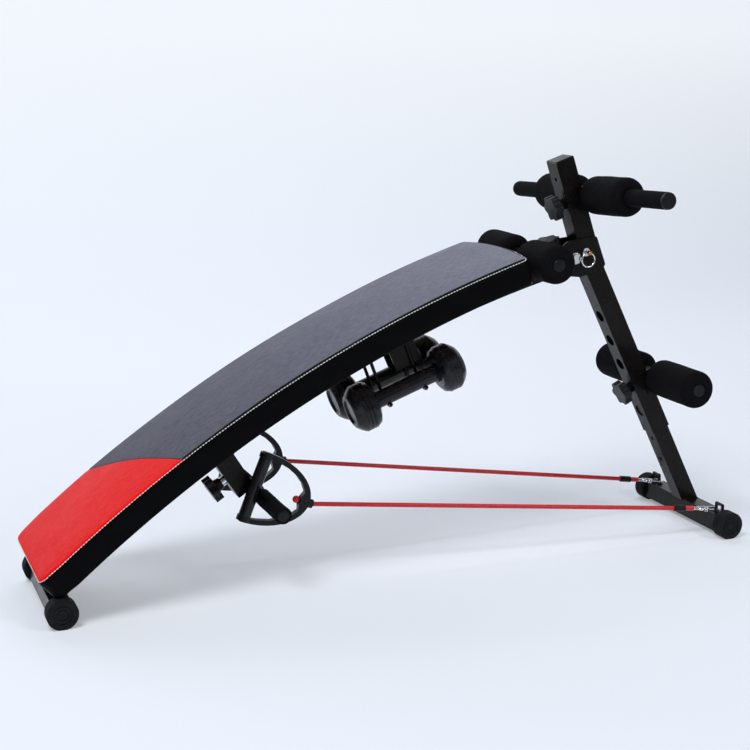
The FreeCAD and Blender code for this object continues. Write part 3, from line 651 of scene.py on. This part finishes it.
def vinyl_finish():
    mat = new_finish("pad_vinyl", (0.05, 0.05, 0.055), 0.42, specular=0.5)
    shader = mat.node_tree.nodes["Principled BSDF"]
    along = attribute(mat, "along").outputs["Fac"]
    across = attribute(mat, "across").outputs["Fac"]
    height = attribute(mat, "height").outputs["Fac"]
    fine = streaks(mat, along, across, height)
    cloud = noise(mat, 16.0, 3.0)

    def streaked(low, high):
        return grade(mat, fine, "Fac", low, high, STREAK_FROM, STREAK_TO).outputs["Color"]

    # painted sheen: the top's vinyl is black, and this grey is the pale backdrop's reflection painted
    # in, darker at the tail and lighter at the head, where the board is seen at a flatter angle
    tail_painted_sheen = streaked((0.024, 0.024, 0.034), (0.090, 0.088, 0.120))
    head_painted_sheen = streaked((0.120, 0.125, 0.168), (0.235, 0.242, 0.305))
    grey_painted_sheen = mix_colors(mat, maths(mat, "DIVIDE", along, BOARD_L), tail_painted_sheen, head_painted_sheen)
    # the red panel's red, paled by the same painted sheen in its light streaks
    red_with_painted_sheen = streaked((0.66, 0.007, 0.008), (0.88, 0.030, 0.032))
    t = maths(mat, "ADD", maths(mat, "DIVIDE", across, BOARD_W), 0.5)
    bow = maths(mat, "MULTIPLY", maths(mat, "SINE", maths(mat, "MULTIPLY", t, math.pi), 0.0), SLANT_BOW)
    slope = maths(mat, "ADD", maths(mat, "MULTIPLY", t, SLANT_FAR - SLANT_NEAR), SLANT_NEAR)
    past = maths(mat, "SUBTRACT", along, maths(mat, "ADD", slope, bow))
    # where the cover rolls over the edge the painted sheen stops, and the vinyl's own pure red and
    # black show
    rolled = maths(mat, "LESS_THAN", attribute(mat, "gap").outputs["Fac"], ROLL_W)
    red_with_painted_sheen = mix_colors(mat, rolled, red_with_painted_sheen, RED_ROLL)
    grey_painted_sheen = mix_colors(mat, rolled, grey_painted_sheen, BLACK_ROLL)
    top = mix_colors(mat, maths(mat, "GREATER_THAN", past, 0.0), red_with_painted_sheen, grey_painted_sheen)
    line = maths(mat, "LESS_THAN", maths(mat, "ABSOLUTE", past, 0.0), THREAD_LINE)
    top = mix_colors(mat, line, top, BLACK_THREAD)
    is_top = maths(mat, "GREATER_THAN", height, SEAM_H)
    mat.node_tree.links.new(mix_colors(mat, is_top, BLACK_BAND, top), shader.inputs["Base Color"])
    shine = maths(mat, "ADD", maths(mat, "MULTIPLY", is_top, TOP_SHINE - BAND_SHINE), BAND_SHINE)
    mat.node_tree.links.new(shine, shader.inputs["Specular IOR Level"])
    vary_rough(mat, cloud, "Fac", 0.38, 0.5)
    pebble = cells(mat, 1100.0)
    bumps(mat, (cloud, "Fac", 0.25, 0.004), (fine, "Fac", 0.35, 0.0003),
          (pebble, "Distance", 0.3, 0.0002))
    return mat


pad_vinyl = vinyl_finish()
pad.data.materials.clear()
pad.data.materials.append(pad_vinyl)
print("vinyl, shine", TOP_SHINE, "on top and", BAND_SHINE, "on the band")

# %% [markdown]
# Thread is what the eye follows along the edge. A dashed line in the finish would look drawn, so each
# stitch is a short grain of thread, sunk a little in the groove. A ray from outside finds the cover,
# so the stitches lie on the stuffed shape.

# %% Stitching
STITCH = 4.4 * MM
STITCH_STEP = 5.6 * MM
THREAD_R = 0.85 * MM
RAY_FROM, RAY_LEN = 30 * MM, 60 * MM


def walk(points, step):
    # evenly spaced places and directions along a closed line
    closed = points + [points[0]]
    left = 0.0
    for a, b in zip(closed, closed[1:]):
        d = b - a
        at = left
        while at < d.length:
            yield a + d * (at / d.length), d.normalized()
            at += step
        left = at - d.length


def add_stitch(bm, a, b, out):
    mid = (a + b) / 2 + out * THREAD_R * 0.7
    pts = [a, a.lerp(mid, 0.6), mid, b.lerp(mid, 0.6), b]
    add_tube(bm, pts, [THREAD_R * k for k in (0.45, 0.95, 1.05, 0.95, 0.45)], sides=6)


def make_stitches():
    bm = bmesh.new()
    count = 0
    for p, way in walk(board_outline(0.0, CORNER), STITCH_STEP):
        out = Vector((way.y, -way.x, 0))
        start = Vector((p.x, p.y, SEAM_H + 0.4 * MM)) + out * RAY_FROM
        hit = flat_tree.ray_cast(start, -out, RAY_LEN)
        if hit[0] is None:
            continue
        count += 1
        at = hit[0]
        a = onto_arc(at - way * STITCH / 2)
        b = onto_arc(at + way * STITCH / 2)
        outward = (onto_arc(at + out * MM) - onto_arc(at)).normalized()
        add_stitch(bm, a, b, outward)
    print("stitches", count)
    return new_piece("edge_stitching", bm, "bench")


def thread_finish():
    mat = new_finish("white_thread", (0.78, 0.77, 0.74), 0.7, specular=0.3)
    twist = noise(mat, 900.0, 2.0)
    tint(mat, twist, "Fac", (0.62, 0.61, 0.58), (0.86, 0.85, 0.83))
    bumps(mat, (twist, "Fac", 0.5, 0.0002))
    return mat


stitching = make_stitches()
stitching.data.materials.append(thread_finish())

# %% [markdown]
# The rollers are thick sleeves of black foam pushed onto the bars. Foam has no sharp edges, and a
# bevelled cylinder looks machined. So each sleeve is turned from a profile with full, round ends,
# and a slow wobble runs round it.

# %% Foam sleeves
PORES = 0.35 * MM
SLEEVE_SIDES = 56
WOBBLE = 0.22 * MM


def foam_finish():
    mat = new_finish("black_foam", (0.005, 0.005, 0.006), 0.85, specular=0.05)
    skin = noise(mat, 420.0, 5.0, 0.7)
    tint(mat, skin, "Fac", (0.0025, 0.0025, 0.0032), (0.0075, 0.0075, 0.0090), 0.3, 0.7)
    pores = cells(mat, 1300.0)
    dents = noise(mat, 38.0, 2.0)
    bumps(mat, (dents, "Fac", 0.3, 0.004), (pores, "Distance", 0.6, PORES))
    return mat


def sleeve_profile(lo, hi, r, bore, rim):
    # (place along the bar, radius) from the bore at one end round to the bore at the other
    end = [(1.5 * MM, bore), (0.2 * MM, bore + 1.6 * MM)]
    for k in range(9):
        a = math.pi / 2 * k / 8
        end.append((rim * (1 - math.sin(a)), max(bore + 1.8 * MM, r - rim * (1 - math.cos(a)))))
    end = end[:2] + sorted(end[2:], key=lambda q: (q[0], q[1]))
    rows = max(8, int((hi - lo - 2 * rim) / (7 * MM)))
    body = [(lo + rim + (hi - lo - 2 * rim) * k / rows, r) for k in range(1, rows)]
    return [(lo + d, q) for d, q in end] + body + [(hi - d, q) for d, q in reversed(end)]


def add_sleeve(bm, place, lo, hi, r, bore, rim, seed):
    rnd = random.Random(seed)
    waves = [(rnd.uniform(0, 6.28), rnd.uniform(0, 6.28), k) for k in (1, 2, 3)]
    rings = []
    for y, q in sleeve_profile(lo, hi, r, bore, rim):
        ring = []
        for k in range(SLEEVE_SIDES):
            a = 2 * math.pi * k / SLEEVE_SIDES
            rr = q
            if q > bore + 3 * MM:
                rr -= 0.35 * MM
                for p0, p1, n in waves:
                    rr += WOBBLE * math.sin(n * a + p0) * math.sin(34 * y * n + p1)
            ring.append(bm.verts.new(place @ Vector((rr * math.cos(a), y, rr * math.sin(a)))))
        rings.append(ring)
    for a, b in zip(rings, rings[1:] + rings[:1]):
        for k in range(SLEEVE_SIDES):
            j = (k + 1) % SLEEVE_SIDES
            bm.faces.new((a[k], b[k], b[j], a[j]))


def joint_place(name):
    # a bar's own frame: its Y runs along the axis of the roller that turns on it
    joint = [j for j in frame["joints"] if j["name"] == name][0]
    way = Vector(joint["axis"])
    turn = Vector((0, 1, 0)).rotation_difference(way)
    return Matrix.Translation(joint["pos_m"]) @ turn.to_matrix().to_4x4()


black_foam = foam_finish()
BAR_R = 12.5 * MM
FOAM_R, FOAM_RIM, FOAM_FROM = 35.0 * MM, 14.0 * MM, 27.0 * MM
FOAM_TO = {"low": 162.5 * MM, "mid": 137.5 * MM, "top": 155.0 * MM}
GRIP_FROM, GRIP_TO, GRIP_R = 156.0 * MM, 276.5 * MM, 15.0 * MM
REST_FROM, REST_TO = 15.0 * MM, 138.0 * MM


def foam_piece(name, nodes, body, place, runs, r, bore, rim):
    bm = bmesh.new()
    for seed, (lo, hi) in enumerate(runs):
        add_sleeve(bm, place, lo, hi, r, bore, rim, seed + len(name))
    bmesh.ops.recalc_face_normals(bm, faces=bm.faces)
    obj = new_piece(name, bm, body)
    obj.data.materials.append(black_foam)
    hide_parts(*nodes)
    return obj


def both(lo, hi):
    return ((-hi, -lo), (lo, hi))


for bar, to in FOAM_TO.items():
    place = joint_place(f"{bar}_roller_near_spin")
    for side, run in zip(("near", "far"), both(FOAM_FROM, to)):
        foam_piece(f"{bar}_sleeve_{side}", [f"{bar}_foam_{side}"], f"{bar}_roller_{side}", place,
                   [run], FOAM_R, BAR_R + 0.1 * MM, FOAM_RIM)
foam_piece("top_grip_sleeves", ["top_grips"], "post", joint_place("top_roller_near_spin"),
           both(GRIP_FROM, GRIP_TO), GRIP_R, BAR_R + 0.1 * MM, 3 * MM)
foam_piece("rest_sleeves", ["rest_foams"], "bench", Matrix.Translation(middle("rest_bar")),
           both(REST_FROM, REST_TO), GRIP_R, BAR_R - 1.3 * MM, 3 * MM)


def rest_plugs():
    # domed plugs close the ends of the short cross bar
    bm = bmesh.new()
    seat = middle("rest_bar")
    for s in (-1, 1):
        ends = [seat + Vector((0, s * (REST_TO - d * MM), 0)) for d in (12, 2.2, 1.2, 0.9)]
        add_tube(bm, ends, [BAR_R - 1.5 * MM] * 2 + [BAR_R - 2.4 * MM, BAR_R - 5 * MM], sides=40)
    return new_piece("rest_plugs", bm, "bench")


plugs = rest_plugs()
print("foam sleeves made")

# %% [markdown]
# Most of the bench is steel tube with a black powder coat, which is paint to a shader and not metal.
# Baked powder has a fine orange-peel skin and rubs a little brighter where hands and boxes touch it.
# Pins, rings and hooks are plated, and there the shader is metal.

# %% Steel finishes


def powder_finish():
    mat = new_finish("black_powder", (0.006, 0.005, 0.005), 0.26, specular=0.14)
    peel = noise(mat, 900.0, 3.0)
    rub = noise(mat, 22.0, 4.0, 0.6)
    tint(mat, rub, "Fac", (0.0045, 0.0036, 0.0034), (0.010, 0.0085, 0.008), 0.4, 0.75)
    vary_rough(mat, rub, "Fac", 0.20, 0.32)
    bumps(mat, (peel, "Fac", 0.35, 0.0002))
    return mat


def bright_finish():
    mat = new_finish("bright_plating", (0.78, 0.78, 0.80), 0.16, metallic=1.0)
    turn = noise(mat, 300.0, 4.0, 0.6)
    vary_rough(mat, turn, "Fac", 0.10, 0.24)
    bumps(mat, (turn, "Fac", 0.08, 0.0001))
    return mat


black_powder = powder_finish()
bright_plating = bright_finish()
dress(black_powder, "main_tube", "tail_foot_tube", "front_foot_tube", "post_column", "post_leg",
      "fold_plates", "low_saddle", "top_saddle", "low_bar", "mid_bar", "top_bar", "mid_strap",
      "rest_bracket", "rest_stem", "rest_bar", "foot_eyes", "hanger_rods", "hanger_bracket")
dress(bright_plating, "pivot_bolt", "lock_pin", "lock_ring", "rest_nut", "snap_hook_near",
      "snap_hook_far", "snap_gate_near", "snap_gate_far")

# %% [markdown]
# Black plastics and rubbers sit side by side here. One black for them all would run together, because
# only their gloss tells them apart: ribbed rubber feet, satin moulded knobs and plugs, and the shiny
# grips and dumbbells. The clips' red straps and the plywood under the board come with them.

# %% Rubber and plastic finishes


def rubber_finish():
    mat = new_finish("ribbed_rubber", (0.008, 0.008, 0.009), 0.55, specular=0.15)
    dust = noise(mat, 70.0, 5.0, 0.65)
    tint(mat, dust, "Fac", (0.005, 0.005, 0.0065), (0.016, 0.016, 0.02), 0.42, 0.8)
    vary_rough(mat, dust, "Fac", 0.5, 0.72)
    skin = noise(mat, 1100.0, 2.0)
    bumps(mat, (skin, "Fac", 0.3, 0.0002))
    return mat


def moulded_finish():
    mat = new_finish("moulded_plastic", (0.006, 0.006, 0.007), 0.34, specular=0.2)
    spark = noise(mat, 1400.0, 3.0)
    slow = noise(mat, 60.0, 3.0)
    tint(mat, slow, "Fac", (0.004, 0.004, 0.005), (0.010, 0.010, 0.012))
    vary_rough(mat, slow, "Fac", 0.26, 0.42)
    bumps(mat, (spark, "Fac", 0.4, 0.00015))
    return mat


def glossy_finish():
    mat = new_finish("glossy_grip", (0.006, 0.006, 0.008), 0.16, specular=0.22, coat=0.12,
                     coat_rough=0.06)
    flow = noise(mat, 40.0, 2.0)
    tint(mat, flow, "Fac", (0.006, 0.006, 0.007), (0.012, 0.012, 0.014))
    bumps(mat, (flow, "Fac", 0.12, 0.001))
    return mat


def dipped_finish():
    mat = new_finish("dipped_vinyl", (0.006, 0.006, 0.008), 0.26, specular=0.25, coat=0.1,
                     coat_rough=0.15)
    flow = noise(mat, 55.0, 3.0)
    tint(mat, flow, "Fac", (0.0045, 0.0045, 0.006), (0.010, 0.010, 0.013))
    vary_rough(mat, flow, "Fac", 0.2, 0.33)
    bumps(mat, (flow, "Fac", 0.25, 0.0012))
    return mat


def red_clip_finish():
    mat = new_finish("red_clip", (0.62, 0.02, 0.03), 0.32, specular=0.5)
    flow = noise(mat, 200.0, 3.0)
    tint(mat, flow, "Fac", (0.54, 0.014, 0.022), (0.70, 0.03, 0.04))
    bumps(mat, (flow, "Fac", 0.2, 0.0003))
    return mat


def plywood_finish():
    mat = new_finish("plywood", (0.42, 0.30, 0.18), 0.6, specular=0.3)
    grain = noise(mat, 30.0, 6.0, 0.7, stretch=(1.0, 12.0, 12.0))
    tint(mat, grain, "Fac", (0.28, 0.19, 0.11), (0.52, 0.38, 0.24), 0.3, 0.7)
    bumps(mat, (grain, "Fac", 0.4, 0.0006))
    return mat


dress(rubber_finish(), "front_caps", "tail_caps")
moulded = moulded_finish()
plugs.data.materials.append(moulded)
dress(moulded, "post_top_plug", "low_plugs", "mid_plugs", "top_plugs", "low_knob", "mid_knob",
      "top_knob", "rest_knob", "stirrup_near", "stirrup_far", "rope_ferrules")
dress(glossy_finish(), "hand_grip_near", "hand_grip_far")
dress(dipped_finish(), "dumbbell_near", "dumbbell_far")
dress(red_clip_finish(), "rope_straps")
dress(plywood_finish(), "board_base")

# %% [markdown]
# Where tubes meet there is a bead of weld, laid in ripples. Joining the tubes with a fillet would hide
# the joint, so each bead is a thin tube of its own whose radius goes in and out along the corner.

# %% Weld beads
WELD_R = 1.5 * MM
RIPPLE = 1.5 * MM
LEG_HALF = 16.4 * MM
LOW_LEAN = math.radians(26.1)
EYE_GAP = 20 * MM


def add_bead(bm, points):
    chain = []
    radii = []
    for a, b in zip(points, points[1:]):
        count = max(2, int((b - a).length / RIPPLE))
        for k in range(count):
            chain.append(a.lerp(b, k / count))
            radii.append(WELD_R * (0.8 if k % 2 else 1.0))
    add_tube(bm, chain + [points[-1]], radii + [WELD_R * 0.6], sides=8)


def ring_points(centre, way, r, count=16):
    u, v = frame_of(way)
    turns = [2 * math.pi * k / count for k in range(count + 1)]
    return [centre + u * (r * math.cos(a)) + v * (r * math.sin(a)) for a in turns]


def tail_welds():
    bm = bmesh.new()
    lo, hi = (Vector(c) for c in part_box("tail_foot_tube"))
    side = TUBE / 2
    low = BEND_R - TUBE
    under = ARC.z + math.sqrt(low ** 2 - (ARC.x - hi.x) ** 2)
    back = ARC.x - BEND_R * math.sin(TAIL_SLOPE - math.radians(0.2))
    for s in (-1, 1):
        y = s * side
        add_bead(bm, [Vector((back, y, hi.z)), Vector((hi.x, y, hi.z)), Vector((hi.x, y, under))])
    add_bead(bm, [Vector((hi.x, -side, under)), Vector((hi.x, side, under))])
    add_bead(bm, [Vector((back, -side, hi.z)), Vector((back, side, hi.z))])
    lo, hi = (Vector(c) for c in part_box("rest_stem"))
    seat = middle("rest_bar")
    way = Vector((lo.x - hi.x, 0, hi.z - lo.z)).normalized()
    add_bead(bm, ring_points(seat + way * 13.0 * MM, way, 11.0 * MM))
    return new_piece("bench_welds", bm, "bench")


def foot_welds():
    bm = bmesh.new()
    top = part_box("front_foot_tube")[1][2]
    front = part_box("post_leg")[1][0]
    back = max(front - 2 * LEG_HALF / math.cos(LOW_LEAN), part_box("front_foot_tube")[0][0])
    for s in (-1, 1):
        y = s * LEG_HALF
        add_bead(bm, [Vector((back, y, top)), Vector((front, y, top))])
    add_bead(bm, [Vector((front, -LEG_HALF, top)), Vector((front, LEG_HALF, top))])
    lo, hi = (Vector(c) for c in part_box("foot_eyes"))
    x = (lo.x + hi.x) / 2
    rod = (hi.x - lo.x) / 2
    for y in (hi.y - rod, hi.y - rod - EYE_GAP):
        for s in (-1, 1):
            add_bead(bm, ring_points(Vector((x, s * y, top)), Vector((0, 0, 1)), rod, 12))
    return new_piece("foot_welds", bm, "post")


for welds in (tail_welds(), foot_welds()):
    welds.data.materials.append(black_powder)
    print(welds.name, len(welds.data.polygons), "faces")

# %% [markdown]
# The hem under the board is stapled to the plywood, a few fingers apart. Only the bridge of a staple
# shows, so each is one short piece of wire that lies on the hem.

# %% Staples
STAPLE_IN, STAPLE_STEP, STAPLE_LEN = 13.0 * MM, 34.0 * MM, 11.0 * MM
STAPLE_R = 0.55 * MM
STAPLE_CORNER = 20 * MM


def make_staples():
    bm = bmesh.new()
    count = 0
    for p, way in walk(board_outline(STAPLE_IN, STAPLE_CORNER), STAPLE_STEP):
        if abs(p.y) < TUBE:
            continue
        count += 1
        p = p + Vector((0, 0, -HEM_T - 0.35 * MM))
        ends = [onto_arc(p - way * STAPLE_LEN / 2), onto_arc(p + way * STAPLE_LEN / 2)]
        add_tube(bm, ends, STAPLE_R, sides=6)
    print("staples", count)
    return new_piece("hem_staples", bm, "bench")


staples = make_staples()
staples.data.materials.append(bright_plating)

# %% [markdown]
# The lock pin ends in a ball of brass, which keeps its ring on. It is the one warm spot among the
# black and the plating, so it gets a finish of its own.

# %% The pin's ball
BALL_R = 4.2 * MM


def brass_finish():
    mat = new_finish("pin_brass", (0.62, 0.25, 0.09), 0.28, metallic=1.0)
    spots = noise(mat, 500.0, 3.0)
    tint(mat, spots, "Fac", (0.50, 0.19, 0.07), (0.72, 0.33, 0.13))
    vary_rough(mat, spots, "Fac", 0.2, 0.4)
    return mat


def pin_ball():
    bm = bmesh.new()
    lo, hi = (Vector(c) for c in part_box("lock_pin"))
    end = Vector(((lo.x + hi.x) / 2, lo.y, (lo.z + hi.z) / 2))
    bmesh.ops.create_uvsphere(bm, u_segments=24, v_segments=14, radius=BALL_R,
                              matrix=Matrix.Translation(end))
    return new_piece("lock_pin_ball", bm, "lock_pin")


ball = pin_ball()
ball.data.materials.append(brass_finish())
print("ball at", tuple(round(c, 3) for c in middle("lock_pin")))

# %% [markdown]
# A floor and a wall would meet in a line behind the bench, so one pale sweep curves up from floor to
# wall. To the eye it is lighter the higher it goes, and that lightness is in its finish, not in the
# lamps: it lights nothing, and the floor keeps the bench's shadow.

# %% The sweep
FLOOR_FRONT, FLOOR_BACK, CURVE_R = -6.0, 2.2, 2.0
WALL_TOP, SWEEP_HALF = 7.0, 9.0
PALE = (0.82, 0.87, 0.96)
GLOW_LOW, GLOW_HIGH = 0.28, 0.82


def sweep_finish():
    mat = new_finish("pale_sweep", PALE, 0.9, specular=0.0)
    tree = mat.node_tree
    shader = tree.nodes["Principled BSDF"]
    out = tree.nodes["Material Output"]
    glow = node(mat, "ShaderNodeEmission", Color=(0.92, 0.955, 1.0, 1), Strength=1.0)
    path = tree.nodes.new("ShaderNodeLightPath")
    seen = maths(mat, "MAXIMUM", path.outputs["Is Camera Ray"], path.outputs["Is Glossy Ray"])
    seen = maths(mat, "MAXIMUM", seen, path.outputs["Is Transmission Ray"])
    where = tree.nodes.new("ShaderNodeTexCoord")
    parts = tree.nodes.new("ShaderNodeSeparateXYZ")
    wire(mat, where, "Object", parts, "Vector")
    climb = node(mat, "ShaderNodeMapRange", From_Min=0.0, From_Max=1.0,
                 To_Min=GLOW_LOW, To_Max=GLOW_HIGH)
    wire(mat, parts, "Z", climb, "Value")
    mixed = tree.nodes.new("ShaderNodeMixShader")
    tree.links.new(maths(mat, "MULTIPLY", seen, climb.outputs["Result"]), mixed.inputs[0])
    tree.links.new(shader.outputs[0], mixed.inputs[1])
    tree.links.new(glow.outputs[0], mixed.inputs[2])
    tree.links.new(mixed.outputs[0], out.inputs["Surface"])
    return mat


def make_sweep():
    bm = bmesh.new()
    rows = [(FLOOR_FRONT, 0.0), (0.0, 0.0), (FLOOR_BACK, 0.0)]
    for k in range(1, 13):
        a = math.pi / 2 * k / 12
        rows.append((FLOOR_BACK + CURVE_R * math.sin(a), CURVE_R * (1 - math.cos(a))))
    rows.append((FLOOR_BACK + CURVE_R, WALL_TOP))
    last = None
    for y, z in rows:
        pair = [bm.verts.new((x, y, z)) for x in (-SWEEP_HALF, SWEEP_HALF)]
        if last:
            bm.faces.new((last[0], last[1], pair[1], pair[0]))
        last = pair
    obj = new_piece("studio_sweep", bm)
    obj.data.materials.append(sweep_finish())
    obj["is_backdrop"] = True
    return obj


sweep = make_sweep()
print("sweep", len(sweep.data.polygons), "faces")

# %% [markdown]
# One large soft lamp stands over the bench on the left and makes its shadow. Weaker ones come from
# the right and from behind, and one is for the wall alone. Black steel shows by what it reflects,
# so the lamp at the side is a wide panel that draws a sheen down the post, and the sky is pale.

# %% Lamps and sky
SKY = 0.22
LAMPS = (
    # name, where it stands, what it points at, width and height in metres, watts
    ("key", (-1.9, -1.5, 3.9), (0, 0, 0.2), (1.5, 1.5), 112),
    ("fill", (1.7, -2.6, 2.4), (0, 0, 0.3), (1.0, 1.0), 28),
    ("rim", (0.6, 2.0, 2.6), (0, 0, 0.3), (2.2, 1.2), 8),
    ("side", (-1.7, 3.6, 1.3), (0.3, 0, 0.4), (1.6, 1.8), 14),
    ("wall", (0.9, 1.8, 3.6), (1.0, 3.9, 0.9), (5.0, 1.0), 55),
)


def add_lamp(name, at, target, size, power):
    data = bpy.data.lights.new(name, "AREA")
    data.shape = "RECTANGLE"
    data.size, data.size_y = size
    data.energy = power
    obj = bpy.data.objects.new(name, data)
    obj.location = at
    obj.rotation_mode = "QUATERNION"
    obj.rotation_quaternion = (Vector(target) - Vector(at)).to_track_quat("-Z", "Y")
    bpy.context.scene.collection.objects.link(obj)


def make_sky():
    world = bpy.data.worlds.new("sky")
    world.use_nodes = True
    back = world.node_tree.nodes["Background"]
    back.inputs["Color"].default_value = (0.90, 0.93, 1.0, 1)
    back.inputs["Strength"].default_value = SKY
    bpy.context.scene.world = world


make_sky()
for lamp in LAMPS:
    add_lamp(*lamp)
bpy.context.scene.view_settings.view_transform = "Standard"
print("lamps", len(LAMPS), "sky", SKY)

# %% [markdown]
# The last lines print the solids' box and the dressed bench's box, so that they can be compared.

# %% Finish
dressed_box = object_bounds()
for label, corner in (("solids", solid_box), ("dressed", dressed_box)):
    print(label, [[round(v, 4) for v in c] for c in corner])
